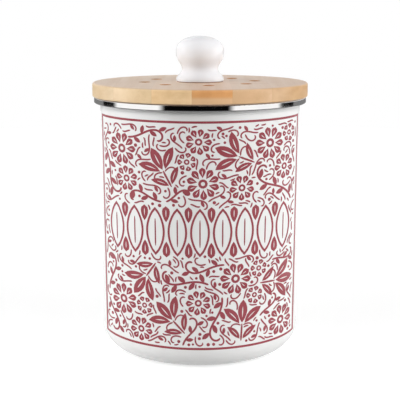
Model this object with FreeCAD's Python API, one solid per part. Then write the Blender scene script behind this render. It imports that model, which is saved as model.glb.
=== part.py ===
"""A kitchen compost caddy: an enamelled steel can with a bright rim, under a vented bamboo lid with a filter.

The can stands on the plane z = 0 with its axis on Z, and its printed front faces -Y. Sizes are in millimetres.
"""

import FreeCAD
import Part

import math
import os

# Clearances that the pieces share
GLUE_FIT = 0.05  # between fixed pieces that are crimped, screwed or cemented together
RUNNING_FIT = 0.3  # between pieces that part or turn in use
GROOVE_FIT = 0.1  # round the seal in its groove
SCREW_FIT = 0.25  # between a screw's shank and the hole it passes through
CUT_OVERRUN = 5.0  # how far a cutting shape runs past the face it cuts

# Can: one drawn steel shell, enamelled inside and out, a hair narrower at the foot
CAN_HEIGHT = 192.6  # to the top of the steel rim
CAN_DIAMETER = 150.6  # under the rim
CAN_TAPER = 0.3  # how much the radius shrinks towards the foot
CAN_WALL = 0.9
CAN_FOOT_CORNER = 18.0
CAN_LIP_BEND = 1.2  # underside bend of the lip that the rim is folded over
FOOT_RING_WIDTH = 7.2
FOOT_RECESS = 2.0
FOOT_RECESS_SLOPE = 5.0
FOOT_RECESS_ROUND = 2.5

# Rim: a bright steel strip folded round the lip, with an upright face
RIM_STRIP = 0.4
RIM_UPPER_ROUND = 0.6
RIM_LOWER_ROUND = 0.6
RIM_FLAT = 3.2  # upright stretch between the two rounds
RIM_TUCK = 4.0  # flat stretch that runs in to the can's wall

# Lid board: bamboo staves glued edge to edge, running front to back
LID_OVERHANG = 1.2  # past the rim
LID_THICKNESS = 10.5
LID_UPPER_ROUND = 1.8
LID_LOWER_ROUND = 1.0
STAVE_COUNT = 6
BLANK_TRIM = 5.0  # how much wider the glued blank is than the turned board
STAVE_SHIFT_SHARE = -0.2  # how far the joints sit off the lid's middle, as a share of a stave's width
VENT_COUNT = 8
VENT_DIAMETER = 8.0
VENT_CIRCLE_SHARE = 0.519  # radius of the circle of vents, as a share of the board's
VENT_FIRST_ANGLE = 8.5  # degrees
VENT_CHAMFER = 0.5

# Seal: a silicone ring with two wiper fins in the plug's groove
SEAL_GROOVE_DEPTH = 2.2
SEAL_GROOVE_HEIGHT = 4.6
SEAL_GROOVE_DROP = 2.8  # from the board's underside to the groove
SEAL_FIN = 1.1
SEAL_FIN_TIP = 0.7
SEAL_FIN_RISE = 0.6
SEAL_SHOULDER = 0.5  # how far the seal's back stands out of the groove

# Plug: a bamboo ring glued under the board, which centres the lid in the can's mouth
PLUG_CLEARANCE = 3.1  # from the can's wall, bridged by the seal
PLUG_WIDTH = 10.5
PLUG_BELOW_GROOVE = 2.6
PLUG_EDGE_ROUND = 1.2

# Knob: glazed ceramic, cemented onto a threaded brass insert
KNOB_DIAMETER = 36.2
KNOB_HEIGHT = 34.15
# Outline from the foot to the crown: shares of the knob's radius and of its height
KNOB_OUTLINE_SHARES = (
    (0.959, 0.000),
    (0.989, 0.070),
    (0.902, 0.150),
    (0.781, 0.235),
    (0.761, 0.315),
    (0.863, 0.420),
    (0.973, 0.530),
    (1.004, 0.640),
    (0.978, 0.750),
    (0.852, 0.860),
    (0.613, 0.945),
    (0.000, 1.000),
)

# Knob screw, with its washer sunk in a counterbore under the board and its thread in a brass insert
KNOB_SCREW_DIAMETER = 4.0
KNOB_SCREW_GRIP = 10.7  # length of thread in the insert
KNOB_SCREW_HEAD_DIAMETER = 8.0
KNOB_SCREW_HEAD_HEIGHT = 2.6
KNOB_SCREW_HEAD_ROUND = 1.0
KNOB_SCREW_SUNK = 0.6  # head below the board's underside
WASHER_BRIM = 3.0
WASHER_THICKNESS = 1.0
COUNTERBORE_CLEARANCE = 1.0
INSERT_WALL = 1.5
INSERT_SPARE = 3.3  # insert left above the screw's tip

# Carbon pad: felt charged with charcoal
PAD_THICKNESS = 7.0
PAD_EDGE_ROUND = 1.5

# Filter frame: a moulded ring screwed under the board round the vents
FRAME_CLEARANCE = 0.7  # from the plug's bore
FRAME_WALL = 2.0
FRAME_FLANGE = 2.0
FRAME_EDGE_ROUND = 0.5
FRAME_HEADROOM = 4.0  # frame left above the pad
FRAME_SCREW_COUNT = 3
FRAME_SCREW_FIRST_ANGLE = 75.0  # degrees
FRAME_SCREW_DIAMETER = 2.8
FRAME_SCREW_LENGTH = 8.0
FRAME_SCREW_HEAD_DIAMETER = 4.8
FRAME_SCREW_HEAD_HEIGHT = 1.8
FRAME_SCREW_HEAD_ROUND = 0.7
FRAME_SCREW_MARGIN = 0.25  # flange left on each side of a screw's head

# Cross recess of both screws, as shares of the head's diameter and height
RECESS_LENGTH_SHARE = 0.62
RECESS_WIDTH_SHARE = 0.16
RECESS_DEPTH_SHARE = 0.6
SCREW_TIP_SHARE = 0.16  # chamfer of the tip, as a share of the shank's diameter

# Filter cover: a slotted cap that pushes into the frame and carries the pad
COVER_PLATE = 2.0
COVER_EDGE_ROUND = 0.8
COVER_COLLAR_HEIGHT = 3.5
COVER_COLLAR_WALL = 2.0
COVER_SLOT_WIDTH = 3.4
COVER_SLOT_COUNTS = (10, 20)
# Where each ring of slots starts and ends, as shares of the collar's inner radius
COVER_SLOT_SPAN_SHARES = ((0.335, 0.552), (0.641, 0.937))
GRIP_LENGTH = 26.0
GRIP_FLAT = 0.8
GRIP_ROUND = 1.6
GRIP_DROP = 9.0

# Heights that follow from the sizes above
LIP_TOP = CAN_HEIGHT - RIM_STRIP - GLUE_FIT
LIP_UNDERSIDE = LIP_TOP - CAN_WALL
RIM_BOTTOM = CAN_HEIGHT - RIM_UPPER_ROUND - RIM_FLAT - RIM_LOWER_ROUND
BOARD_UNDERSIDE = CAN_HEIGHT + RUNNING_FIT
BOARD_TOP = BOARD_UNDERSIDE + LID_THICKNESS
GROOVE_TOP = BOARD_UNDERSIDE - SEAL_GROOVE_DROP
GROOVE_BOTTOM = GROOVE_TOP - SEAL_GROOVE_HEIGHT
FRAME_BOTTOM = BOARD_UNDERSIDE - PAD_THICKNESS - FRAME_HEADROOM
COVER_TOP = FRAME_BOTTOM - RUNNING_FIT
COVER_BOTTOM = COVER_TOP - COVER_PLATE
KNOB_SCREW_SEAT = BOARD_UNDERSIDE + KNOB_SCREW_SUNK + KNOB_SCREW_HEAD_HEIGHT
WASHER_TOP = KNOB_SCREW_SEAT + WASHER_THICKNESS
FRAME_SCREW_SEAT = BOARD_UNDERSIDE - FRAME_FLANGE

# Radii that follow from the can's, from the rim outwards and from the wall inwards
CAN_RADIUS = CAN_DIAMETER / 2
RIM_RADIUS = CAN_RADIUS + RIM_TUCK + RIM_LOWER_ROUND
LID_RADIUS = RIM_RADIUS + LID_OVERHANG
PLUG_RADIUS = CAN_RADIUS - CAN_WALL - PLUG_CLEARANCE
PLUG_BORE_RADIUS = PLUG_RADIUS - PLUG_WIDTH
FLANGE_RADIUS = PLUG_BORE_RADIUS - FRAME_CLEARANCE
FRAME_SCREW_CIRCLE_RADIUS = FLANGE_RADIUS - FRAME_SCREW_MARGIN - FRAME_SCREW_HEAD_DIAMETER / 2
FRAME_RADIUS = FRAME_SCREW_CIRCLE_RADIUS - FRAME_SCREW_HEAD_DIAMETER / 2 - FRAME_SCREW_MARGIN
FRAME_BORE_RADIUS = FRAME_RADIUS - FRAME_WALL
VENT_CIRCLE_RADIUS = LID_RADIUS * VENT_CIRCLE_SHARE
COLLAR_RADIUS = FRAME_BORE_RADIUS - RUNNING_FIT
COLLAR_BORE_RADIUS = COLLAR_RADIUS - COVER_COLLAR_WALL

# Other sizes that follow
KNOB_SCREW_HOLE = KNOB_SCREW_DIAMETER + SCREW_FIT * 2
WASHER_DIAMETER = KNOB_SCREW_HEAD_DIAMETER + WASHER_BRIM * 2
COUNTERBORE_DIAMETER = WASHER_DIAMETER + COUNTERBORE_CLEARANCE * 2
INSERT_DIAMETER = KNOB_SCREW_DIAMETER + INSERT_WALL * 2
INSERT_LENGTH = KNOB_SCREW_GRIP + INSERT_SPARE
KNOB_SCREW_LENGTH = BOARD_TOP - KNOB_SCREW_SEAT + KNOB_SCREW_GRIP
GRIP_WIDTH = GRIP_ROUND * 2 + GRIP_FLAT
STAVE_WIDTH = (LID_RADIUS * 2 + BLANK_TRIM) / STAVE_COUNT

AXIS = FreeCAD.Vector(0, 0, 1)
ORIGIN = FreeCAD.Vector(0, 0, 0)


# Shared shapes


def outline_face(corners):
    """Closed face in the XZ plane from (x, z) or (x, z, rounding) corners, each rounding a tangent arc."""
    points = [FreeCAD.Vector(corner[0], 0, corner[1]) for corner in corners]
    runs = []
    for index, corner in enumerate(corners):
        here = points[index]
        rounding = corner[2] if len(corner) > 2 else 0
        if rounding == 0:
            runs.append((here, None, here))
            continue
        back = (points[index - 1] - here).normalize()
        ahead = (points[(index + 1) % len(points)] - here).normalize()
        half_angle = back.getAngle(ahead) / 2
        middle = (back + ahead).normalize()
        trim = rounding / math.tan(half_angle)
        centre = here + middle * (rounding / math.sin(half_angle))
        runs.append((here + back * trim, centre - middle * rounding, here + ahead * trim))
    edges = []
    for index, (start, bulge, end) in enumerate(runs):
        if bulge is not None:
            edges.append(Part.Arc(start, bulge, end).toShape())
        following = runs[(index + 1) % len(runs)][0]
        if not end.isEqual(following, Part.Precision.confusion()):
            edges.append(Part.LineSegment(end, following).toShape())
    return Part.Face(Part.Wire(edges))


def turned(corners):
    """Solid of revolution about Z from the corners of its section."""
    return outline_face(corners).revolve(ORIGIN, AXIS, 360)


def rod(diameter, low, high, x=0, y=0):
    """Upright cylinder between two heights."""
    return Part.makeCylinder(diameter / 2, high - low, FreeCAD.Vector(x, y, low), AXIS)


def on_circle(radius, count, first_angle):
    """Places spaced evenly round a circle, as (x, y, angle in degrees)."""
    for index in range(count):
        angle = first_angle + index * 360 / count
        turn = math.radians(angle)
        yield radius * math.cos(turn), radius * math.sin(turn), angle


def pan_head_screw(diameter, length, head_diameter, head_height, head_round, seat):
    """Cross-recessed screw with its head below the seat height and its shank above it."""
    head = turned(
        [
            (0, seat - head_height),
            (head_diameter / 2, seat - head_height, head_round),
            (head_diameter / 2, seat),
            (0, seat),
        ]
    )
    tip_chamfer = diameter * SCREW_TIP_SHARE
    shank = turned(
        [
            (0, seat),
            (diameter / 2, seat),
            (diameter / 2, seat + length - tip_chamfer),
            (diameter / 2 - tip_chamfer, seat + length),
            (0, seat + length),
        ]
    )
    screw = head.fuse(shank).removeSplitter()
    slot_length = head_diameter * RECESS_LENGTH_SHARE
    slot_width = head_diameter * RECESS_WIDTH_SHARE
    slot_depth = head_height * RECESS_DEPTH_SHARE
    for across, along in ((slot_length, slot_width), (slot_width, slot_length)):
        corner = FreeCAD.Vector(-across / 2, -along / 2, seat - head_height - CUT_OVERRUN)
        screw = screw.cut(Part.makeBox(across, along, slot_depth + CUT_OVERRUN, corner))
    return screw


# Can


def can_radius(height):
    """Outer radius of the can's wall at a height."""
    return CAN_RADIUS - CAN_TAPER * (1 - height / LIP_UNDERSIDE)


def can_shell():
    """Drawn shell: recessed floor, rounded foot, tapered wall and a lip turned outwards."""
    foot_inner = can_radius(0) - CAN_FOOT_CORNER - FOOT_RING_WIDTH
    floor_edge = foot_inner - FOOT_RECESS_SLOPE
    lip_radius = RIM_RADIUS - RIM_UPPER_ROUND
    return turned(
        [
            (0, FOOT_RECESS),
            (floor_edge, FOOT_RECESS, FOOT_RECESS_ROUND),
            (foot_inner, 0, FOOT_RECESS_ROUND),
            (can_radius(0), 0, CAN_FOOT_CORNER),
            (CAN_RADIUS, LIP_UNDERSIDE, CAN_LIP_BEND),
            (lip_radius, LIP_UNDERSIDE),
            (lip_radius, LIP_TOP),
            (CAN_RADIUS - CAN_WALL, LIP_TOP, CAN_LIP_BEND + CAN_WALL),
            (can_radius(0) - CAN_WALL, CAN_WALL, CAN_FOOT_CORNER - CAN_WALL),
            (foot_inner, CAN_WALL, FOOT_RECESS_ROUND),
            (floor_edge, FOOT_RECESS + CAN_WALL, FOOT_RECESS_ROUND),
            (0, FOOT_RECESS + CAN_WALL),
        ]
    )


def rim_band():
    """Steel strip folded over the lip and tucked in against the wall below it."""
    inner = RIM_RADIUS - RIM_STRIP
    upper_end = CAN_RADIUS + CAN_LIP_BEND
    lower_end = can_radius(RIM_BOTTOM + RIM_STRIP) + GLUE_FIT
    return turned(
        [
            (upper_end, CAN_HEIGHT),
            (RIM_RADIUS, CAN_HEIGHT, RIM_UPPER_ROUND),
            (RIM_RADIUS, RIM_BOTTOM, RIM_LOWER_ROUND),
            (lower_end, RIM_BOTTOM),
            (lower_end, RIM_BOTTOM + RIM_STRIP),
            (inner, RIM_BOTTOM + RIM_STRIP, RIM_LOWER_ROUND - RIM_STRIP),
            (inner, CAN_HEIGHT - RIM_STRIP, RIM_UPPER_ROUND - RIM_STRIP),
            (upper_end, CAN_HEIGHT - RIM_STRIP),
        ]
    )


# Lid board


def lid_board():
    """The whole round board with its vents and screw holes, before it is divided into staves."""
    board = turned(
        [
            (0, BOARD_UNDERSIDE),
            (LID_RADIUS, BOARD_UNDERSIDE, LID_LOWER_ROUND),
            (LID_RADIUS, BOARD_TOP, LID_UPPER_ROUND),
            (0, BOARD_TOP),
        ]
    )
    bore = VENT_DIAMETER / 2
    mouth = bore + VENT_CHAMFER
    vent = turned(
        [
            (0, BOARD_UNDERSIDE),
            (mouth, BOARD_UNDERSIDE),
            (bore, BOARD_UNDERSIDE + VENT_CHAMFER),
            (bore, BOARD_TOP - VENT_CHAMFER),
            (mouth, BOARD_TOP),
            (0, BOARD_TOP),
        ]
    )
    cuts = [
        rod(KNOB_SCREW_HOLE, BOARD_UNDERSIDE, BOARD_TOP + CUT_OVERRUN),
        rod(COUNTERBORE_DIAMETER, BOARD_UNDERSIDE - CUT_OVERRUN, WASHER_TOP),
    ]
    for x, y, _ in on_circle(VENT_CIRCLE_RADIUS, VENT_COUNT, VENT_FIRST_ANGLE):
        cuts.append(vent.translated(FreeCAD.Vector(x, y, 0)))
    pilot_top = FRAME_SCREW_SEAT + FRAME_SCREW_LENGTH + GLUE_FIT
    pilot_diameter = FRAME_SCREW_DIAMETER + GLUE_FIT * 2
    for x, y, _ in on_circle(FRAME_SCREW_CIRCLE_RADIUS, FRAME_SCREW_COUNT, FRAME_SCREW_FIRST_ANGLE):
        cuts.append(rod(pilot_diameter, BOARD_UNDERSIDE - CUT_OVERRUN, pilot_top, x, y))
    for cut in cuts:
        board = board.cut(cut)
    return board


def stave_joints():
    """Places of the glue joints along X, from left to right."""
    middle = STAVE_COUNT / 2 - STAVE_SHIFT_SHARE
    return [(step - middle) * STAVE_WIDTH for step in range(1, STAVE_COUNT)]


def lid_staves():
    """The board divided at its glue joints, as a list of staves from left to right."""
    board = lid_board()
    half = LID_RADIUS + CUT_OVERRUN
    sides = [-half, *stave_joints(), half]
    staves = []
    for left, right in zip(sides, sides[1:]):
        corner = FreeCAD.Vector(left, -half, BOARD_UNDERSIDE - CUT_OVERRUN)
        strip = Part.makeBox(right - left, half * 2, LID_THICKNESS + CUT_OVERRUN * 2, corner)
        staves.append(board.common(strip))
    return staves


# Plug and seal


def plug_ring():
    """Locating ring with a groove for the seal."""
    groove = PLUG_RADIUS - SEAL_GROOVE_DEPTH
    bottom = GROOVE_BOTTOM - PLUG_BELOW_GROOVE
    return turned(
        [
            (PLUG_BORE_RADIUS, bottom, PLUG_EDGE_ROUND),
            (PLUG_RADIUS, bottom, PLUG_EDGE_ROUND),
            (PLUG_RADIUS, GROOVE_BOTTOM),
            (groove, GROOVE_BOTTOM),
            (groove, GROOVE_TOP),
            (PLUG_RADIUS, GROOVE_TOP),
            (PLUG_RADIUS, BOARD_UNDERSIDE),
            (PLUG_BORE_RADIUS, BOARD_UNDERSIDE),
        ]
    )


def seal_ring():
    """Silicone ring whose two fins lean up as they wipe the can's mouth."""
    back = PLUG_RADIUS - SEAL_GROOVE_DEPTH + GROOVE_FIT
    root = PLUG_RADIUS + SEAL_SHOULDER
    top = GROOVE_TOP - GROOVE_FIT
    bottom = GROOVE_BOTTOM + GROOVE_FIT
    tip = can_radius(bottom) - CAN_WALL - RUNNING_FIT
    upper_fin = top - SEAL_FIN
    return turned(
        [
            (back, bottom),
            (root, bottom),
            (tip, bottom + SEAL_FIN_RISE),
            (tip, bottom + SEAL_FIN_RISE + SEAL_FIN_TIP),
            (root, bottom + SEAL_FIN),
            (root, upper_fin),
            (tip, upper_fin + SEAL_FIN_RISE),
            (tip, upper_fin + SEAL_FIN_RISE + SEAL_FIN_TIP),
            (root, top),
            (back, top),
        ]
    )


# Knob and its fastening


def knob():
    """Waisted knob with a socket for the insert."""
    half = KNOB_DIAMETER / 2
    points = [
        FreeCAD.Vector(half * across, 0, BOARD_TOP + KNOB_HEIGHT * up) for across, up in KNOB_OUTLINE_SHARES
    ]
    crown = points[-1]
    other_side = [FreeCAD.Vector(-point.x, 0, point.z) for point in reversed(points[:-1])]
    curve = Part.BSplineCurve()
    curve.interpolate(points + other_side)
    foot = FreeCAD.Vector(0, 0, BOARD_TOP)
    edges = [
        Part.LineSegment(foot, points[0]).toShape(),
        curve.toShape(curve.FirstParameter, curve.parameter(crown)),
        Part.LineSegment(crown, foot).toShape(),
    ]
    body = Part.Face(Part.Wire(edges)).revolve(ORIGIN, AXIS, 360)
    socket_top = BOARD_TOP + INSERT_LENGTH + GLUE_FIT
    return body.cut(rod(INSERT_DIAMETER + GLUE_FIT * 2, BOARD_TOP - CUT_OVERRUN, socket_top))


def knob_insert():
    """Brass sleeve that takes the knob screw."""
    sleeve = rod(INSERT_DIAMETER, BOARD_TOP, BOARD_TOP + INSERT_LENGTH)
    bore = KNOB_SCREW_DIAMETER + GLUE_FIT * 2
    return sleeve.cut(rod(bore, BOARD_TOP - CUT_OVERRUN, BOARD_TOP + INSERT_LENGTH + CUT_OVERRUN))


def knob_screw():
    """Screw that draws the knob down onto the board from below."""
    return pan_head_screw(
        KNOB_SCREW_DIAMETER,
        KNOB_SCREW_LENGTH,
        KNOB_SCREW_HEAD_DIAMETER,
        KNOB_SCREW_HEAD_HEIGHT,
        KNOB_SCREW_HEAD_ROUND,
        KNOB_SCREW_SEAT,
    )


def knob_washer():
    """Plain washer between the screw's head and the bamboo."""
    disc = rod(WASHER_DIAMETER, KNOB_SCREW_SEAT, WASHER_TOP)
    return disc.cut(rod(KNOB_SCREW_HOLE, KNOB_SCREW_SEAT - CUT_OVERRUN, WASHER_TOP + CUT_OVERRUN))


# Filter


def filter_frame():
    """Flanged ring that the cover pushes into."""
    frame = turned(
        [
            (FRAME_BORE_RADIUS, FRAME_BOTTOM, FRAME_EDGE_ROUND),
            (FRAME_RADIUS, FRAME_BOTTOM, FRAME_EDGE_ROUND),
            (FRAME_RADIUS, FRAME_SCREW_SEAT),
            (FLANGE_RADIUS, FRAME_SCREW_SEAT, FRAME_EDGE_ROUND),
            (FLANGE_RADIUS, BOARD_UNDERSIDE),
            (FRAME_BORE_RADIUS, BOARD_UNDERSIDE),
        ]
    )
    hole = FRAME_SCREW_DIAMETER + GLUE_FIT * 2
    for x, y, _ in on_circle(FRAME_SCREW_CIRCLE_RADIUS, FRAME_SCREW_COUNT, FRAME_SCREW_FIRST_ANGLE):
        frame = frame.cut(rod(hole, FRAME_SCREW_SEAT - CUT_OVERRUN, BOARD_UNDERSIDE + CUT_OVERRUN, x, y))
    return frame


def frame_screws():
    """The frame's screws, as separate solids in one group."""
    screw = pan_head_screw(
        FRAME_SCREW_DIAMETER,
        FRAME_SCREW_LENGTH,
        FRAME_SCREW_HEAD_DIAMETER,
        FRAME_SCREW_HEAD_HEIGHT,
        FRAME_SCREW_HEAD_ROUND,
        FRAME_SCREW_SEAT,
    )
    group = []
    for x, y, angle in on_circle(FRAME_SCREW_CIRCLE_RADIUS, FRAME_SCREW_COUNT, FRAME_SCREW_FIRST_ANGLE):
        turned_screw = screw.copy()
        turned_screw.rotate(ORIGIN, AXIS, angle)
        group.append(turned_screw.translated(FreeCAD.Vector(x, y, 0)))
    return Part.makeCompound(group)


def slot_cutter(inner, outer, angle):
    """Round-ended radial slot through the cover's plate."""
    low = COVER_BOTTOM - CUT_OVERRUN
    depth = COVER_PLATE + CUT_OVERRUN * 2
    half = COVER_SLOT_WIDTH / 2
    straight = outer - inner - COVER_SLOT_WIDTH
    slot = Part.makeBox(straight, COVER_SLOT_WIDTH, depth, FreeCAD.Vector(inner + half, -half, low))
    for centre in (inner + half, outer - half):
        slot = slot.fuse(rod(COVER_SLOT_WIDTH, low, low + depth, centre))
    slot.rotate(ORIGIN, AXIS, angle)
    return slot


def filter_cover():
    """Slotted cap with a collar inside the frame and a grip to pull it out by."""
    collar_top = COVER_TOP + COVER_COLLAR_HEIGHT
    cover = turned(
        [
            (0, COVER_BOTTOM),
            (FRAME_RADIUS, COVER_BOTTOM, COVER_EDGE_ROUND),
            (FRAME_RADIUS, COVER_TOP),
            (COLLAR_RADIUS, COVER_TOP),
            (COLLAR_RADIUS, collar_top),
            (COLLAR_BORE_RADIUS, collar_top),
            (COLLAR_BORE_RADIUS, COVER_TOP),
            (0, COVER_TOP),
        ]
    )
    for count, (start, end) in zip(COVER_SLOT_COUNTS, COVER_SLOT_SPAN_SHARES):
        for index in range(count):
            angle = index * 360 / count
            cover = cover.cut(slot_cutter(COLLAR_BORE_RADIUS * start, COLLAR_BORE_RADIUS * end, angle))
    corner = FreeCAD.Vector(-GRIP_LENGTH / 2, -GRIP_WIDTH / 2, COVER_BOTTOM - GRIP_DROP)
    grip = Part.makeBox(GRIP_LENGTH, GRIP_WIDTH, GRIP_DROP + COVER_PLATE / 2, corner)
    grip = grip.makeFillet(GRIP_ROUND, [side for side in grip.Edges if side.BoundBox.ZMin < COVER_BOTTOM])
    return cover.fuse(grip).removeSplitter()


def carbon_filter():
    """Felt pad that lies on the cover, inside its collar."""
    radius = COLLAR_BORE_RADIUS - RUNNING_FIT
    bottom = COVER_TOP + GLUE_FIT
    top = bottom + PAD_THICKNESS
    return turned(
        [
            (0, bottom),
            (radius, bottom, PAD_EDGE_ROUND),
            (radius, top, PAD_EDGE_ROUND),
            (0, top),
        ]
    )


def build():
    """Every piece of the caddy by name."""
    pieces = {
        "can_shell": can_shell(),
        "rim_band": rim_band(),
        "plug_ring": plug_ring(),
        "seal_ring": seal_ring(),
        "knob": knob(),
        "knob_insert": knob_insert(),
        "knob_screw": knob_screw(),
        "knob_washer": knob_washer(),
        "filter_frame": filter_frame(),
        "frame_screws": frame_screws(),
        "filter_cover": filter_cover(),
        "carbon_filter": carbon_filter(),
    }
    for number, stave in enumerate(lid_staves(), start=1):
        pieces[f"lid_stave_{number}"] = stave
    return pieces


os.makedirs("parts", exist_ok=True)
for name, shape in build().items():
    shape.exportStep(f"parts/{name}.step")
    print(f"{name}: {len(shape.Solids)} solid, {shape.Volume / 1000:.2f} cm3, valid {shape.isValid()}")
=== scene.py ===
"""Looks of a kitchen compost caddy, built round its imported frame.

The can is white enamel with a red ornament in a ruled panel on its front. It has a bright steel rim and a
bamboo lid with vents and a ceramic knob. Lengths are metres unless a name ends in _mm. -Y is the printed
front and +Z is up.
"""

import logging
import math
import random
from collections.abc import Iterable, Mapping, Sequence
from dataclasses import dataclass, field, replace
from enum import Enum
from typing import Any

import bmesh
import bpy
import numpy as np
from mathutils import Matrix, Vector, noise


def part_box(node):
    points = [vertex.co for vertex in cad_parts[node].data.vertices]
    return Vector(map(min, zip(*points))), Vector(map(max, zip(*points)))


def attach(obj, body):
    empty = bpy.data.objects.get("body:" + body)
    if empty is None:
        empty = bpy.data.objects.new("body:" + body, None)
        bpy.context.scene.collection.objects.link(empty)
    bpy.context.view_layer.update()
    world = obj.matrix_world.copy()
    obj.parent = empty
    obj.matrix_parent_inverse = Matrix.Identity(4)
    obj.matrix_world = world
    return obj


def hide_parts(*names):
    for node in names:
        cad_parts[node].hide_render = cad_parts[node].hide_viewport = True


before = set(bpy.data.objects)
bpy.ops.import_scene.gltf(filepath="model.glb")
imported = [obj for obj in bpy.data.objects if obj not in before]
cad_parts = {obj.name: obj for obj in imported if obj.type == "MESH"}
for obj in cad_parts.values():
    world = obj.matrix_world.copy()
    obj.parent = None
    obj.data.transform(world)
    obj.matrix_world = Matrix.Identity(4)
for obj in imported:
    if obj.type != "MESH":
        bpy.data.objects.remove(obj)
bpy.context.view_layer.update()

LOG = logging.getLogger("caddy")
MM = 0.001
SHARP_ANGLE = math.radians(40)
MERGE = 0.00001  # points nearer than this become one
OUTSIDE = 0.2  # a distance from the axis that is clear of the can
WALL_BEARINGS = range(-70, 71, 7)  # degrees from the front, where the wall is measured

Colour = tuple[float, float, float, float]
Point = tuple[float, float]


def srgb(red: int, green: int, blue: int) -> Colour:
    """Turn a colour as it is seen on a screen into the linear one that a shader takes.

    Args:
        red: red from 0 to 255.
        green: green from 0 to 255.
        blue: blue from 0 to 255.

    Returns:
        The linear colour with full alpha.
    """
    shares = (red / 255, green / 255, blue / 255)
    linear = [share / 12.92 if share <= 0.04045 else ((share + 0.055) / 1.055) ** 2.4 for share in shares]
    return (linear[0], linear[1], linear[2], 1.0)


class Body(Enum):
    """The rigid bodies that new pieces ride on."""

    CAN = "can"
    FILTER = "filter"


class Socket(Enum):
    """Kinds of socket on a shader group."""

    VALUE = "NodeSocketFloat"
    COLOUR = "NodeSocketColor"
    VECTOR = "NodeSocketVector"


@dataclass
class Graph:
    """A node tree that is filled in by short calls."""

    tree: bpy.types.NodeTree

    def add(
        self, kind: str, inputs: Mapping[str | int, Any] | None = None, **settings: Any
    ) -> bpy.types.Node:
        """Add one node.

        Args:
            kind: name of the node's type.
            inputs: sockets to link or values to set, by the input's name or place.
            settings: other properties of the node.

        Returns:
            The new node.
        """
        node = self.tree.nodes.new(kind)
        for name, value in settings.items():
            setattr(node, name, value)
        for key, value in (inputs or {}).items():
            if isinstance(value, bpy.types.NodeSocket):
                self.tree.links.new(value, node.inputs[key])
            else:
                node.inputs[key].default_value = value
        return node

    def math(self, operation: str, *values: Any) -> bpy.types.NodeSocket:
        """Add a Math node over sockets or numbers and return its result."""
        node = self.add("ShaderNodeMath", dict(enumerate(values)), operation=operation)
        return node.outputs[0]

    def remap(self, value: Any, low: float, high: float, to_low: float = 0.0, to_high: float = 1.0) -> Any:
        """Map the range from low to high smoothly onto the one from to_low to to_high."""
        inputs = {"Value": value, "From Min": low, "From Max": high, "To Min": to_low, "To Max": to_high}
        return self.add("ShaderNodeMapRange", inputs, interpolation_type="SMOOTHSTEP").outputs["Result"]

    def apart(self, first: Any, second: Any) -> bpy.types.NodeSocket:
        """Find how far apart two values are."""
        return self.math("ABSOLUTE", self.math("SUBTRACT", first, second))

    def mix(self, share: Any, first: Any, second: Any) -> bpy.types.NodeSocket:
        """Mix two colours, by the share of the second."""
        node = self.add("ShaderNodeMix", {0: share, 6: first, 7: second}, data_type="RGBA")
        return node.outputs[2]

    def noise(self, vector: Any, scale: Any, detail: float = 2.0) -> bpy.types.NodeSocket:
        """Add a noise texture, with its cells per metre and its count of finer layers."""
        node = self.add("ShaderNodeTexNoise", {"Vector": vector, "Scale": scale, "Detail": detail})
        return node.outputs["Fac"]

    def stretched(self, vector: Any, scale: tuple[float, float, float]) -> bpy.types.NodeSocket:
        """Scale coordinates by a factor along each of X, Y and Z."""
        node = self.add("ShaderNodeMapping", {"Vector": vector, "Scale": scale})
        return node.outputs[0]


@dataclass
class ShaderGroup:
    """A shader node group with named inputs and outputs."""

    name: str
    inputs: Mapping[str, Socket]
    outputs: Mapping[str, Socket]
    tree: bpy.types.NodeTree = field(init=False)
    graph: Graph = field(init=False)
    start: bpy.types.Node = field(init=False)
    end: bpy.types.Node = field(init=False)

    def __post_init__(self) -> None:
        """Make the empty group with its sockets."""
        self.tree = bpy.data.node_groups.new(self.name, "ShaderNodeTree")
        for way, sockets in (("INPUT", self.inputs), ("OUTPUT", self.outputs)):
            for name, kind in sockets.items():
                self.tree.interface.new_socket(name, in_out=way, socket_type=kind.value)
        self.graph = Graph(self.tree)
        self.start = self.graph.add("NodeGroupInput")
        self.end = self.graph.add("NodeGroupOutput")

    def given(self, name: str) -> bpy.types.NodeSocket:
        """Return the socket of an input, as it is seen inside the group."""
        return self.start.outputs[name]

    def put_out(self, name: str, socket: bpy.types.NodeSocket) -> None:
        """Link a socket inside the group to one of its outputs."""
        self.tree.links.new(socket, self.end.inputs[name])


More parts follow.
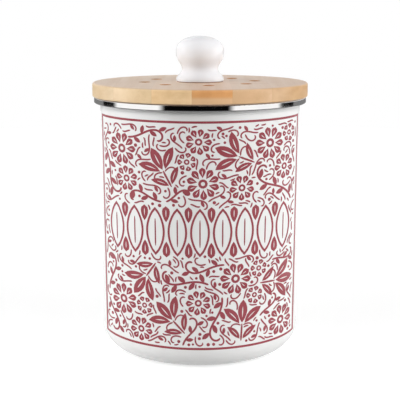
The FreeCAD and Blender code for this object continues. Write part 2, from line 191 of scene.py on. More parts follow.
@dataclass
class Effects:
    """Shader groups that more than one finish uses. A fade is where a mark starts to go and where it ends."""

    broad_scale: float = 130.0
    slow_scale: float = 28.0
    strand_scale: float = 1150.0
    pale_fade: tuple[float, float] = (-0.0016, 0.0012)
    knuckle_fade: tuple[float, float] = (0.0004, 0.0022)
    knuckle_wander: float = 0.004
    glue_fade: tuple[float, float] = (0.00006, 0.00034)
    # Where the painted shade of the vents' walls starts to go and where it ends, as a distance from the axis.
    bore_shade_fade: tuple[float, float] = (0.05, 0.06)
    mottle: ShaderGroup = field(init=False)
    fibre: ShaderGroup = field(init=False)

    def __post_init__(self) -> None:
        """Build every group once."""
        self.mottle = self.build_mottle()
        self.fibre = self.build_fibre()

    @staticmethod
    def build_mottle() -> ShaderGroup:
        """Build soft blotches, for a finish that isn't quite even.

        Returns:
            A group that puts out a tinted colour, a roughness and a height.
        """
        group = ShaderGroup(
            "soft_mottle",
            {
                "Colour": Socket.COLOUR,
                "Shade": Socket.COLOUR,
                "Blotch Scale": Socket.VALUE,
                "Grain Scale": Socket.VALUE,
                "Roughness Low": Socket.VALUE,
                "Roughness High": Socket.VALUE,
            },
            {"Colour": Socket.COLOUR, "Roughness": Socket.VALUE, "Height": Socket.VALUE},
        )
        graph = group.graph
        place = graph.add("ShaderNodeTexCoord").outputs["Object"]
        blotch = graph.noise(place, group.given("Blotch Scale"), 3.0)
        grain = graph.noise(place, group.given("Grain Scale"))
        share = graph.remap(blotch, 0.35, 0.7)
        group.put_out("Colour", graph.mix(share, group.given("Colour"), group.given("Shade")))
        spread = graph.math("SUBTRACT", group.given("Roughness High"), group.given("Roughness Low"))
        rise = graph.math("MULTIPLY", graph.remap(grain, 0.3, 0.7), spread)
        group.put_out("Roughness", graph.math("ADD", group.given("Roughness Low"), rise))
        group.put_out("Height", grain)
        return group

    def build_fibre(self) -> ShaderGroup:
        """Build bamboo whose fibres run along Y, so that cut ends show dots and sides show streaks.

        Returns:
            A group that puts out the wood's colour with painted sheen and shade in it, its roughness and a
            height.
        """
        group = ShaderGroup(
            "bamboo_fibre",
            {
                "Light": Socket.COLOUR,
                "Dark": Socket.COLOUR,
                "Fibre": Socket.COLOUR,
                "Bore": Socket.COLOUR,
                "Shift": Socket.VECTOR,
                "Left Joint": Socket.VALUE,
                "Right Joint": Socket.VALUE,
                "Knuckle": Socket.VALUE,
                "Face": Socket.COLOUR,
                "Pale": Socket.COLOUR,
                "Pale Top": Socket.VALUE,
            },
            {"Colour": Socket.COLOUR, "Roughness": Socket.VALUE, "Height": Socket.VALUE},
        )
        graph = group.graph
        place = graph.add("ShaderNodeTexCoord").outputs["Object"]
        shift = {0: place, 1: group.given("Shift")}
        moved = graph.add("ShaderNodeVectorMath", shift, operation="ADD").outputs[0]
        broad = graph.noise(graph.stretched(moved, (1.0, 0.05, 1.0)), self.broad_scale, 3.0)
        slow = graph.noise(graph.stretched(moved, (1.0, 0.12, 1.0)), self.slow_scale)
        drawn_out = graph.stretched(moved, (1.0, 0.02, 1.0))
        cells = graph.add("ShaderNodeTexVoronoi", {"Vector": drawn_out, "Scale": self.strand_scale})
        strands = graph.remap(cells.outputs["Distance"], 0.12, 0.42, 1.0, 0.0)
        strength = graph.add("ShaderNodeSeparateColor", {0: cells.outputs["Color"]}).outputs[0]
        strands = graph.math("MULTIPLY", strands, graph.remap(strength, 0.45, 1.0))
        apart = graph.add("ShaderNodeSeparateXYZ", {0: place}).outputs
        broad_tone = graph.remap(broad, 0.35, 0.68, 0.0, 0.6)
        slow_tone = graph.remap(slow, 0.3, 0.7, 0.0, 0.4)
        tone = graph.math("ADD", broad_tone, slow_tone)
        colour = graph.mix(tone, group.given("Light"), group.given("Dark"))
        under = graph.math("SUBTRACT", apart[2], group.given("Pale Top"))
        colour = graph.mix(graph.remap(under, *self.pale_fade, 0.75, 0.0), colour, group.given("Pale"))
        # Painted sheen and light: faces that lie flat, such as the board's top, go over to their own paler,
        # pinker tone, which stands in for the sheen and the light that fall on them.
        normal = graph.add("ShaderNodeNewGeometry").outputs["True Normal"]
        upright = graph.add("ShaderNodeSeparateXYZ", {0: normal}).outputs[2]
        level = graph.math("ABSOLUTE", upright)
        face_sheen_share = graph.math("MULTIPLY", graph.remap(level, 0.5, 0.95), 0.8)
        colour = graph.mix(face_sheen_share, colour, group.given("Face"))
        wander = graph.math("MULTIPLY", graph.math("SUBTRACT", slow, 0.5), self.knuckle_wander)
        knuckle = graph.math("ADD", graph.apart(apart[1], group.given("Knuckle")), wander)
        knuckle = graph.remap(knuckle, *self.knuckle_fade, 0.3, 0.0)
        colour = graph.mix(knuckle, colour, group.given("Fibre"))
        colour = graph.mix(graph.math("MULTIPLY", strands, 0.15), colour, group.given("Fibre"))
        to_left = graph.apart(apart[0], group.given("Left Joint"))
        to_right = graph.apart(apart[0], group.given("Right Joint"))
        glue = graph.remap(graph.math("MINIMUM", to_left, to_right), *self.glue_fade, 0.1, 0.0)
        colour = graph.mix(glue, colour, group.given("Fibre"))
        # Painted shade: steep faces within about 5 to 6 cm of the axis, such as the vents' walls, go over to
        # a warm brown that stands in for the shade and the warm bounced light inside the holes.
        level_place = {0: graph.stretched(place, (1.0, 1.0, 0.0))}
        reach = graph.add("ShaderNodeVectorMath", level_place, operation="LENGTH").outputs["Value"]
        steep = graph.remap(level, 0.75, 0.9, 1.0, 0.0)
        bore_shaded = graph.math("MULTIPLY", steep, graph.remap(reach, *self.bore_shade_fade, 0.95, 0.0))
        group.put_out("Colour", graph.mix(bore_shaded, colour, group.given("Bore")))
        group.put_out("Roughness", graph.remap(broad, 0.3, 0.7, 0.36, 0.44))
        group.put_out("Height", graph.math("SUBTRACT", broad, graph.math("MULTIPLY", strands, 0.5)))
        return group


EFFECTS = Effects()


def new_material(name: str, **sockets: Any) -> tuple[bpy.types.Material, Graph, bpy.types.Node]:
    """Make a material that holds one Principled shader.

    Args:
        name: the material's name.
        sockets: values of the shader's inputs, with underscores in place of spaces.

    Returns:
        The material, its graph and its shader.
    """
    material = bpy.data.materials.new(name)
    material.use_nodes = True
    graph = Graph(material.node_tree)
    shader = material.node_tree.nodes["Principled BSDF"]
    for key, value in sockets.items():
        shader.inputs[key.replace("_", " ")].default_value = value
    return material, graph, shader


def place_group(graph: Graph, group: ShaderGroup, **values: Any) -> bpy.types.Node:
    """Place a shader group with its inputs, named with underscores in place of spaces."""
    inputs = {key.replace("_", " "): value for key, value in values.items()}
    return graph.add("ShaderNodeGroup", inputs, node_tree=group.tree)


def feed_shader(
    graph: Graph,
    shader: bpy.types.Node,
    effect: bpy.types.Node,
    colour: bpy.types.NodeSocket,
    bump_height: float,
) -> None:
    """Feed a shader from a placed effect.

    Args:
        graph: the material's graph.
        shader: the material's shader.
        effect: the node that puts out a roughness and a height.
        colour: where the colour comes from.
        bump_height: how far the surface rises and falls.
    """
    bump = graph.add("ShaderNodeBump", {"Height": effect.outputs["Height"], "Distance": bump_height})
    graph.tree.links.new(colour, shader.inputs["Base Color"])
    graph.tree.links.new(effect.outputs["Roughness"], shader.inputs["Roughness"])
    graph.tree.links.new(bump.outputs["Normal"], shader.inputs["Normal"])


@dataclass(frozen=True)
class EvenFinish:
    """A coat, glaze, plating or moulding: one colour with soft blotches and a fine grain, and where wanted a
    band of painted shade below a height.
    """

    name: str
    colour: Colour
    shade: Colour
    roughness: tuple[float, float]
    blotch_scale: float = 40.0
    grain_scale: float = 900.0
    bump_height: float = 0.00002
    metallic: float = 0.0
    ior: float = 1.5
    scatter: float = 0.0
    scatter_depth: float = 0.0
    scatter_reach: tuple[float, float, float] = (1.0, 0.95, 0.9)
    # The last three fields paint a band of shade below a height: its top, how soft its top is and its colour.
    shade_line_top: float = -1.0
    shade_line_fade: float = 0.0002
    shade_line: Colour = srgb(118, 118, 118)

    def material(self) -> bpy.types.Material:
        """Build the finish's material.

        Returns:
            The new material.
        """
        material, graph, shader = new_material(self.name, Metallic=self.metallic, IOR=self.ior)
        if self.scatter > 0:
            shader.inputs["Subsurface Weight"].default_value = self.scatter
            shader.inputs["Subsurface Scale"].default_value = self.scatter_depth
            shader.inputs["Subsurface Radius"].default_value = self.scatter_reach
        mottle = place_group(
            graph,
            EFFECTS.mottle,
            Colour=self.colour,
            Shade=self.shade,
            Blotch_Scale=self.blotch_scale,
            Grain_Scale=self.grain_scale,
            Roughness_Low=self.roughness[0],
            Roughness_High=self.roughness[1],
        )
        # Painted shade: below the band's top the colour goes over to the band's dark colour.
        place = graph.add("ShaderNodeTexCoord").outputs["Object"]
        height = graph.add("ShaderNodeSeparateXYZ", {0: place}).outputs[2]
        in_shade_line = graph.remap(height, self.shade_line_top - self.shade_line_fade, self.shade_line_top, 1.0, 0.0)
        colour = graph.mix(in_shade_line, mottle.outputs["Colour"], self.shade_line)
        feed_shader(graph, shader, mottle, colour, self.bump_height)
        return material


@dataclass(frozen=True)
class BambooFinish:
    """One stave's bamboo, with its own tone and cut from its own place in the wood."""

    name: str
    light: Colour
    dark: Colour
    shift: tuple[float, float, float]
    left_joint: float = -1.0
    right_joint: float = 1.0
    knuckle: float = 1.0
    # Colour of the painted sheen and light on faces that lie flat.
    face: Colour = srgb(206, 179, 157)
    pale: Colour = srgb(222, 186, 146)
    pale_top: float = -1.0
    fibre: Colour = srgb(146, 86, 40)
    # Colour of the painted shade and bounced light inside the vents.
    bore: Colour = srgb(168, 104, 18)
    bump_height: float = 0.000002

    def material(self) -> bpy.types.Material:
        """Build the stave's material.

        Returns:
            The new material.
        """
        material, graph, shader = new_material(self.name, IOR=1.5)
        names = [name.replace(" ", "_") for name in EFFECTS.fibre.inputs]
        wood = place_group(graph, EFFECTS.fibre, **{name: getattr(self, name.lower()) for name in names})
        feed_shader(graph, shader, wood, wood.outputs["Colour"], self.bump_height)
        return material


ENAMEL = EvenFinish(
    "white_enamel",
    srgb(230, 230, 229),
    srgb(227, 227, 226),
    (0.1, 0.16),
    grain_scale=420.0,
    bump_height=0.00001,
)
RIM_STEEL = EvenFinish(
    "bright_steel",
    srgb(250, 249, 247),
    srgb(246, 245, 244),
    (0.02, 0.04),
    grain_scale=700.0,
    bump_height=0.000001,
    metallic=1.0,
)
GLAZE = EvenFinish(
    "white_glaze",
    srgb(230, 230, 233),
    srgb(227, 227, 230),
    (0.1, 0.15),
    bump_height=0.00001,
    ior=1.2,
    scatter=0.5,
    scatter_depth=0.03,
    # Painted shadow: brown for the shadow under the knob's foot.
    shade_line=srgb(140, 100, 70),
)
SILICONE = EvenFinish("white_silicone", srgb(226, 226, 222), srgb(216, 216, 211), (0.45, 0.6), ior=1.41)
BRASS = EvenFinish("turned_brass", srgb(214, 174, 100), srgb(190, 148, 80), (0.2, 0.35), metallic=1.0)
SCREW_STEEL = EvenFinish("zinc_plate", srgb(196, 198, 202), srgb(172, 175, 180), (0.25, 0.4), metallic=1.0)
PLASTIC = EvenFinish(
    "white_moulding", srgb(232, 231, 227), srgb(226, 225, 220), (0.38, 0.5), grain_scale=2500.0
)
CHARCOAL = EvenFinish(
    "charcoal_felt", srgb(38, 38, 40), srgb(20, 20, 22), (0.85, 1.0), grain_scale=1800.0, bump_height=0.0004
)
INK = EvenFinish("red_print", srgb(152, 71, 79), srgb(145, 66, 74), (0.16, 0.24), blotch_scale=60.0, ior=1.3)


def dress(node: str, material: bpy.types.Material) -> None:
    """Give a CAD node its finish.

    Args:
        node: the node's name.
        material: the material for all its faces.
    """
    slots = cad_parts[node].data.materials
    slots.clear()
    slots.append(material)
    LOG.info("%s: %s", node, material.name)


def add_piece(
    name: str, shape: bmesh.types.BMesh, material: bpy.types.Material, body: Body
) -> bpy.types.Object:
    """Make a finished shape a piece of the caddy.

    Args:
        name: the piece's name.
        shape: its shape, in place, which is freed.
        material: its finish.
        body: the body that it rides on.

    Returns:
        The new piece.
    """
    mesh = bpy.data.meshes.new(name)
    shape.to_mesh(mesh)
    shape.free()
    mesh.shade_smooth()
    mesh.set_sharp_from_angle(angle=SHARP_ANGLE)
    mesh.materials.append(material)
    piece = bpy.data.objects.new(name, mesh)
    bpy.context.scene.collection.objects.link(piece)
    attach(piece, body.value)
    LOG.info("%s: %d faces on %s", name, len(mesh.polygons), body.value)
    return piece


@dataclass(frozen=True)
class Line:
    """A drawn line on the flat panel with its width at each point, in millimetres."""

    points: tuple[Point, ...]
    widths: tuple[float, ...]


@dataclass
class Artwork:
    """Lines and filled shapes on the flat panel, in millimetres. A shape is an outline and its holes."""

    lines: list[Line] = field(default_factory=list)
    shapes: list[list[list[Point]]] = field(default_factory=list)

    def add(self, other: "Artwork") -> None:
        """Take in another artwork."""
        self.lines += other.lines
        self.shapes += other.shapes

    def points(self) -> list[Point]:
        """List the points of every line and every outline."""
        drawn = [point for line in self.lines for point in line.points]
        return drawn + [point for shape in self.shapes for point in shape[0]]

    def placed(self, across: float, up: float, turn: float = 0.0) -> "Artwork":
        """Copy the artwork to a place on the panel.

        Args:
            across: distance to the right.
            up: distance upwards.
            turn: turn to the left about the artwork's own origin, in degrees.

        Returns:
            The placed copy.
        """
        cos, sin = math.cos(math.radians(turn)), math.sin(math.radians(turn))

        def move(point: Point) -> Point:
            """Turn and move one point."""
            return (across + point[0] * cos - point[1] * sin, up + point[0] * sin + point[1] * cos)

        lines = [Line(tuple(map(move, line.points)), line.widths) for line in self.lines]
        shapes = [[list(map(move, outline)) for outline in shape] for shape in self.shapes]
        return Artwork(lines, shapes)


def stroke(points: Sequence[Point], width: float) -> Line:
    """Draw a line that is thinner at both ends, with its width in millimetres."""
    ends = (0, len(points) - 1)
    return Line(tuple(points), tuple(width * (0.5 if place in ends else 1.0) for place in range(len(points))))


def curl(length: float, first: float, last: float, growth: float = 1.0) -> list[Point]:
    """Draw the course of a line that leaves the origin to the right and bends more and more.

    Args:
        length: its length, in millimetres.
        first: how much it bends at its start, in degrees a millimetre.
        last: how much it bends at its end.
        growth: above 1 the bend stays low for longer.

    Returns:
        The course's points.
    """
    steps = max(3, round(length / 1.1))
    stride = length / steps
    course = [(0.0, 0.0)]
    heading = 0.0
    for step in range(steps):
        bend = first + (last - first) * ((step + 0.5) / steps) ** growth
        heading += math.radians(bend) * stride
        x, y = course[-1]
        course.append((x + stride * math.cos(heading), y + stride * math.sin(heading)))
    return course


def between(start: Point, end: Point, count: int) -> list[Point]:
    """List the points that divide a straight stretch into equal steps, with both ends."""
    step_x, step_y = (end[0] - start[0]) / count, (end[1] - start[1]) / count
    return [(start[0] + step_x * step, start[1] + step_y * step) for step in range(count + 1)]


def ring(radius: float, steps: int = 12) -> list[Point]:
    """Draw a circle round the origin in straight steps, with its radius in millimetres."""
    turns = [2 * math.pi * step / steps for step in range(steps)]
    return [(radius * math.cos(turn), radius * math.sin(turn)) for turn in turns]


@dataclass(frozen=True)
class Leaf:
    """A leaf or petal that grows to the right from the origin, in millimetres."""

    length: float
    width: float
    lean: float = 0.0
    swell: float = 1.0

    def outline(
        self, start: float = 0.0, end: float = 1.0, fullness: float = 1.0, steps: int = 6
    ) -> list[Point]:
        """Draw the leaf's outline, or that of a narrower shape along its middle.

        Args:
            start: where the outline begins, as a share of the leaf's length.
            end: where the outline ends.
            fullness: share of the leaf's width.
            steps: stretches along each side.

        Returns:
            The outline's points, first along the left side and then back along the right.
        """
        sides: list[list[Point]] = []
        for sign in (1, -1):
            side = []
            for step in range(steps + 1):
                share = step / steps
                along = start + (end - start) * share
                half = sign * fullness * self.width / 2 * abs(math.sin(math.pi * share**self.swell)) ** 0.75
                slope = math.atan2(2 * self.lean * along, self.length)
                middle = (self.length * along, self.lean * along**2)
                side.append((middle[0] - half * math.sin(slope), middle[1] + half * math.cos(slope)))
            sides.append(side)
        return sides[0] + sides[1][-2:0:-1]

    def plain(self) -> Artwork:
        """Draw the leaf filled."""
        return Artwork(shapes=[[self.outline()]])

    def slit(self) -> Artwork:
        """Draw the leaf filled, with a bare slit along its middle."""
        return Artwork(shapes=[[self.outline(), self.outline(0.2, 0.72, 0.12, 4)]])


@dataclass(frozen=True)
class Ornament:
    """A kind of ornament: the most there are, how many places are tried and how far two keep apart."""

    count: int
    tries: int
    apart_mm: float

    def draw(self, chance: random.Random) -> Artwork:
        """Draw one at the origin, with its small differences left to chance."""
        raise NotImplementedError


@dataclass(frozen=True)
class Daisy(Ornament):
    """An open flower."""

    radius_mm: float
    petals: int
    core_mm: float

    def draw(self, chance: random.Random) -> Artwork:
        """Draw the flower round the origin.

        Args:
            chance: not used, because all of a kind are the same.

        Returns:
            The flower.
        """
        flower = Artwork(shapes=[[ring(self.core_mm), ring(self.core_mm * 0.45, 8)]])
        base = self.core_mm + 0.8
        reach = self.radius_mm - base
        width = 2 * math.pi * (base + reach * 0.64) / self.petals * 0.86
        petal = Leaf(reach, width, swell=1.6).slit().placed(base, 0.0)
        for number in range(self.petals):
            flower.add(petal.placed(0.0, 0.0, 360 * number / self.petals))
        return flower


@dataclass(frozen=True)
class Tulip(Ornament):
    """A cupped flower on a stem with two leaves, growing to the right."""

    height_mm: float

    def draw(self, chance: random.Random) -> Artwork:
        """Draw the flower from the foot of its stem.

        Args:
            chance: not used, because all of a kind are the same.

        Returns:
            The flower.
        """
        height = self.height_mm
        cup = height * 0.42
        flower = Artwork(lines=[stroke(between((0.0, 0.0), (cup, 0.0), 5), 1.4)])
        flower.add(Leaf(height * 0.57, height * 0.24, swell=1.1).slit().placed(cup + 0.8, 0.0))
        for side in (1, -1):
            petal = Leaf(height * 0.54, height * 0.21, side * height * 0.14, 1.15).slit()
            flower.add(petal.placed(cup + 0.4, side * height * 0.07, side * 33))
            blade = Leaf(height * 0.44, height * 0.15, side * height * 0.1).slit()
            flower.add(blade.placed(height * 0.05, side * 1.2, side * 34))
            sepal = stroke(curl(height * 0.34, side * 3.0, side * 900 / height, 1.5), 1.1)
            flower.add(Artwork(lines=[sepal]).placed(cup - 1.0, side * 1.0, side * 62))
        return flower


@dataclass(frozen=True)
class Frond(Ornament):
    """A stem with pairs of leaflets, growing to the right."""

    length_mm: float
    pairs: int
    lean_mm: float
    leaflet_mm: float

    def draw(self, chance: random.Random) -> Artwork:
        """Draw the frond from the foot of its stem.

        Args:
            chance: which way it leans.

        Returns:
            The frond.
        """
        length, lean = self.length_mm, self.lean_mm * chance.choice((-1, 1))
        shares = [step / 10 for step in range(11)]
        frond = Artwork(lines=[stroke([(length * share, lean * share**2) for share in shares], 1.1)])
        for number in range(self.pairs):
            share = 0.14 + 0.78 * number / (self.pairs - 1)
            heading = math.degrees(math.atan2(2 * lean * share, length))
            size = self.leaflet_mm * (1 - 0.5 * share)
            for side in (1, -1):
                blade = Leaf(size, size * 0.46, -side * size * 0.2).plain().placed(0.8, 0.0)
                frond.add(blade.placed(0.0, 0.0, heading + side * 58).placed(length * share, lean * share**2))
        return frond


@dataclass(frozen=True)
class Umbel(Ornament):
    """A fan of seeds on a stem, growing to the right."""

    height_mm: float
    rays: int
    seed_mm: float

    def draw(self, chance: random.Random) -> Artwork:
        """Draw the fan from the foot of its stem.

        Args:
            chance: not used, because all of a kind are the same.

        Returns:
            The fan.
        """
        base = self.height_mm * 0.42
        seed = Artwork(shapes=[[ring(self.seed_mm, 10)]])
        fan = Artwork(lines=[stroke(between((0.0, 0.0), (base, 0.0), 4), 1.2)])
        for number in range(self.rays):
            turn = (number / (self.rays - 1) - 0.5) * 150
            reach = self.height_mm * 0.56 * (1.0 if number % 2 == 0 else 0.72)
            ray = Artwork(lines=[stroke(between((0.0, 0.0), (reach, 0.0), 4), 0.9)])
            ray.add(seed.placed(reach, 0.0))
            fan.add(ray.placed(base, 0.0, turn))
        return fan


@dataclass(frozen=True)
class Twig(Ornament):
    """A line that bends more and more, bare or with leaves on its two sides in turn."""

    length_mm: float
    first_bend: float
    last_bend: float
    growth: float
    width_mm: float
    leaves: int = 0
    leaf_mm: float = 0.0

    def draw(self, chance: random.Random) -> Artwork:
        """Draw the line from the origin, with its bends in degrees a millimetre.

        Args:
            chance: its length, within a sixth, and the side that it bends to.

        Returns:
            The line with its leaves.
        """
        side = chance.choice((-1, 1))
        length = self.length_mm * chance.uniform(0.85, 1.15)
        course = curl(length, side * self.first_bend, side * self.last_bend, self.growth)
        twig = Artwork(lines=[stroke(course, self.width_mm)])
        blade = Leaf(self.leaf_mm, self.leaf_mm * 0.48).plain().placed(self.width_mm * 0.3, 0.0)
        for number in range(self.leaves):
            place = round((number + 0.6) / self.leaves * 0.75 * (len(course) - 1))
            start, end = course[place], course[place + 1]
            heading = math.degrees(math.atan2(end[1] - start[1], end[0] - start[0]))
            twig.add(blade.placed(*start, heading + (50 if number % 2 else -50)))
        return twig


@dataclass(frozen=True)
class Dot(Ornament):
    """A round dot."""

    radius_mm: float

    def draw(self, chance: random.Random) -> Artwork:
        """Draw the dot at the origin, with its radius within a quarter left to chance."""
        return Artwork(shapes=[[ring(self.radius_mm * chance.uniform(0.8, 1.25), 8)]])


@dataclass
class Ground:
    """The places on the flat panel that are taken, on a fine grid in millimetres."""

    half_width: float
    low: float
    high: float
    cell: float = 0.4
    pad: float = 45.0
    taken: np.ndarray = field(init=False)

    def __post_init__(self) -> None:
        """Start with the panel free and all round it taken."""
        edge = round(self.pad / self.cell)
        rows = round((self.high - self.low) / self.cell)
        columns = round(2 * self.half_width / self.cell)
        self.taken = np.ones((rows + 2 * edge, columns + 2 * edge), dtype=bool)
        self.taken[edge : edge + rows, edge : edge + columns] = False

    def cells(self, points: Iterable[Point]) -> np.ndarray:
        """Find the row and the column of each of some points."""
        corner = np.array((self.half_width + self.pad, self.pad - self.low))
        return np.round((np.array(list(points)) + corner) / self.cell).astype(int)[:, ::-1]

    def is_free(self, points: Iterable[Point]) -> bool:
        """Tell whether all of some points are free."""
        rows, columns = self.cells(points).T
        return not self.taken[rows, columns].any()

    def take(self, points: Iterable[Point], reach: float) -> None:
        """Take the places near some points.

        Args:
            points: the points.
            reach: how far from them is taken.
        """
        span = math.ceil(reach / self.cell)
        steps = np.arange(-span, span + 1) ** 2
        disc = np.add.outer(steps, steps) <= (reach / self.cell) ** 2
        for row, column in self.cells(points):
            self.taken[row - span : row + span + 1, column - span : column + span + 1] |= disc

    def take_artwork(self, art: Artwork, gap: float) -> None:
        """Take the places of an artwork and a gap round it.

        Args:
            art: the artwork.
            gap: how wide the gap is.
        """
        for line in art.lines:
            for start, end in zip(line.points, line.points[1:]):
                self.take(between(start, end, 2), max(line.widths) / 2 + gap)
        for outline, *_ in art.shapes:
            half = len(outline) // 2 + 1
            left, right = outline[:half], outline[:1] + outline[: half - 2 : -1]
            for place in range(half - 1):
                left_side = between(left[place], left[place + 1], 3)
                right_side = between(right[place], right[place + 1], 3)
                for start, end in zip(left_side, right_side):
                    self.take(between(start, end, max(1, math.ceil(math.dist(start, end)))), gap)


@dataclass
class PrintPanel:
    """The red print: a ruled panel of flowers, fronds and curls with a row of bare leaves across it."""

    low_mm: float = 16.5
    high_mm: float = 181.3
    foot_half_angle: float = math.radians(71.3)
    top_half_angle: float = math.radians(75.2)
    bow: float = 0.85
    rule_mm: float = 1.65
    side_rule_mm: float = 2.3
    inset_mm: float = 1.4
    gap_mm: float = 0.78
    row_gap_mm: float = 1.2
    measured_inset_mm: float = 12.0
    proud_mm: float = 0.07
    sunk_mm: float = 0.05
    strips: int = 52
    merge_mm: float = 0.0005
    row_foot_mm: float = 85.0
    row_leaf: Leaf = Leaf(35.0, 14.0)
    row_line_mm: float = 1.5
    row_count: int = 9
    row_spacing_mm: float = 16.0
    seed: int = 23
    layers: tuple[tuple[str, tuple[Ornament, ...]], ...] = (
        (
            "print_flowers",
            (
                Daisy(6, 1200, 44.0, 11.6, 10, 3.3),
                Tulip(6, 1200, 40.0, 30.0),
                Daisy(6, 1500, 32.0, 9.2, 9, 2.6),
            ),
        ),
        (
            "print_tendrils",
            (
                Twig(40, 8000, 9.0, 46.0, -3.0, 20.0, 2.6, 1.5, 5, 7.2),
                Twig(60, 9000, 5.0, 34.0, 3.0, -24.0, 2.2, 1.45, 4, 6.2),
            ),
        ),
        (
            "print_sprigs",
            (
                Frond(9, 1500, 24.0, 27.0, 7, 4.2, 8.4),
                Umbel(9, 1500, 24.0, 21.0, 7, 1.7),
                Tulip(7, 1500, 24.0, 20.0),
                Daisy(9, 2500, 18.0, 6.6, 7, 2.0),
                Twig(110, 8000, 0.0, 25.0, -4.0, 26.0, 2.2, 1.4, 3, 5.8),
            ),
        ),
        (
            "print_curls",
            (
                Twig(260, 12000, 0.0, 18.0, -6.0, 32.0, 1.8, 1.14, 1, 4.8),
                Twig(400, 14000, 0.0, 12.0, 3.0, 34.0, 1.5, 1.14),
                Twig(600, 14000, 0.0, 7.5, -20.0, 22.0, 1.0, 1.14),
                Dot(300, 8000, 0.0, 1.1),
                Twig(500, 12000, 0.0, 3.6, 10.0, 10.0, 1.0, 1.14),
            ),
        ),
    )
    foot_radius: float = field(init=False)
    top_radius: float = field(init=False)

    def __post_init__(self) -> None:
        """Measure the can's straight wall near the panel's foot and top."""
        self.foot_radius = self.measure_wall((self.low_mm + self.measured_inset_mm) * MM)
        self.top_radius = self.measure_wall((self.high_mm - self.measured_inset_mm) * MM)

    @property
    def half_width_mm(self) -> float:
        """Half of the flat panel's width, at which the print's middle keeps its true width on the wall."""
        half_angle = (self.foot_half_angle + self.top_half_angle) / 2
        return half_angle * self.foot_radius / MM * self.bow / math.asin(self.bow)

    @staticmethod
    def measure_wall(height: float) -> float:
        """Measure the can's outer radius at a height.

        Args:
            height: height above the foot.

        Returns:
            The largest radius of a few places round the wall.
        """
        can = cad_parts["can_shell"]
        depsgraph = bpy.context.evaluated_depsgraph_get()
        radii = []
        for turn in map(math.radians, WALL_BEARINGS):
            outwards = Vector((math.sin(turn), -math.cos(turn), 0.0))
            start = outwards * OUTSIDE + Vector((0.0, 0.0, height))
            _, hit, _, _ = can.ray_cast(start, -outwards, depsgraph=depsgraph)
            radii.append(math.hypot(hit.x, hit.y))
        return max(radii)

    def wrapped(self, face_sheen_share: Vector) -> Vector:
        """Wrap a point of the flat panel round the can, drawn wider and wider towards the panel's sides.

        Args:
            face_sheen_share: millimetres to the right, upwards, and above or below the wall.

        Returns:
            The point in place.
        """
        share = (face_sheen_share.y - self.low_mm) / (self.high_mm - self.low_mm)
        half_angle = self.foot_half_angle + (self.top_half_angle - self.foot_half_angle) * share
        turn = half_angle * math.asin(self.bow * face_sheen_share.x / self.half_width_mm) / math.asin(self.bow)
        wall = self.foot_radius + (self.top_radius - self.foot_radius) * share
        radius = wall + (self.proud_mm if face_sheen_share.z > 0 else -self.sunk_mm) * MM
        return Vector((radius * math.sin(turn), -radius * math.cos(turn), face_sheen_share.y * MM))

    @staticmethod
    def line_curve(lines: Iterable[Line]) -> bpy.types.Curve:
        """Make lines a curve with a square section.

        Args:
            lines: the lines.

        Returns:
            The curve, in millimetres.
        """
        curve = bpy.data.curves.new("print_lines", "CURVE")
        curve.dimensions = "3D"
        curve.twist_mode = "Z_UP"
        curve.bevel_depth = 1.0
        curve.bevel_resolution = 0
        curve.use_fill_caps = True
        for line in lines:
            spline = curve.splines.new("POLY")
            spline.points.add(len(line.points) - 1)
            for knot, point, width in zip(spline.points, line.points, line.widths):
                knot.co = (*point, 0.0, 1.0)
                knot.radius = width / math.sqrt(2)
                knot.tilt = math.pi / 4
        return curve

    @staticmethod
    def shape_curve(shapes: Iterable[Iterable[Sequence[Point]]]) -> bpy.types.Curve:
        """Make filled shapes a flat curve with some thickness.

        Args:
            shapes: the shapes.

        Returns:
            The curve, in millimetres.
        """
        curve = bpy.data.curves.new("print_shapes", "CURVE")
        curve.dimensions = "2D"
        curve.fill_mode = "BOTH"
        curve.extrude = 0.5
        for shape in shapes:
            for outline in shape:
                spline = curve.splines.new("POLY")
                spline.points.add(len(outline) - 1)
                spline.use_cyclic_u = True
                for knot, point in zip(spline.points, outline):
                    knot.co = (*point, 0.0, 1.0)
        return curve

    def print_piece(self, name: str, art: Artwork, material: bpy.types.Material) -> None:
        """Wrap an artwork round the can as one piece.

        Args:
            name: the piece's name.
            art: the artwork.
            material: its ink.
        """
        shape = bmesh.new()
        for curve in (self.line_curve(art.lines), self.shape_curve(art.shapes)):
            holder = bpy.data.objects.new(name, curve)
            face_sheen_share = bpy.data.meshes.new_from_object(holder)
            shape.from_mesh(face_sheen_share)
            bpy.data.meshes.remove(face_sheen_share)
            bpy.data.curves.remove(curve)
        bmesh.ops.remove_doubles(shape, verts=shape.verts, dist=self.merge_mm)
        for number in range(1, self.strips):
            turn = (2 * number / self.strips - 1) * math.asin(self.bow)
            cut = self.half_width_mm * math.sin(turn) / self.bow
            everything = [*shape.verts, *shape.edges, *shape.faces]
            bmesh.ops.bisect_plane(shape, geom=everything, plane_co=(cut, 0.0, 0.0), plane_no=(1.0, 0.0, 0.0))
        for vertex in shape.verts:
            vertex.co = self.wrapped(vertex.co)
        bmesh.ops.recalc_face_normals(shape, faces=shape.faces)
        add_piece(name, shape, material, Body.CAN)

    def rectangle(self, side_inset: float, end_inset: float) -> list[Point]:
        """Draw the panel's outline, moved inwards.

        Args:
            side_inset: how far its sides move.
            end_inset: how far its top and foot move.

        Returns:
            Its four corners.
        """
        right = self.half_width_mm - side_inset
        low, high = self.low_mm + end_inset, self.high_mm - end_inset
        return [(-right, low), (right, low), (right, high), (-right, high)]

    def border(self) -> Artwork:
        """Draw the rule round the panel."""
        return Artwork(shapes=[[self.rectangle(0.0, 0.0), self.rectangle(self.side_rule_mm, self.rule_mm)]])

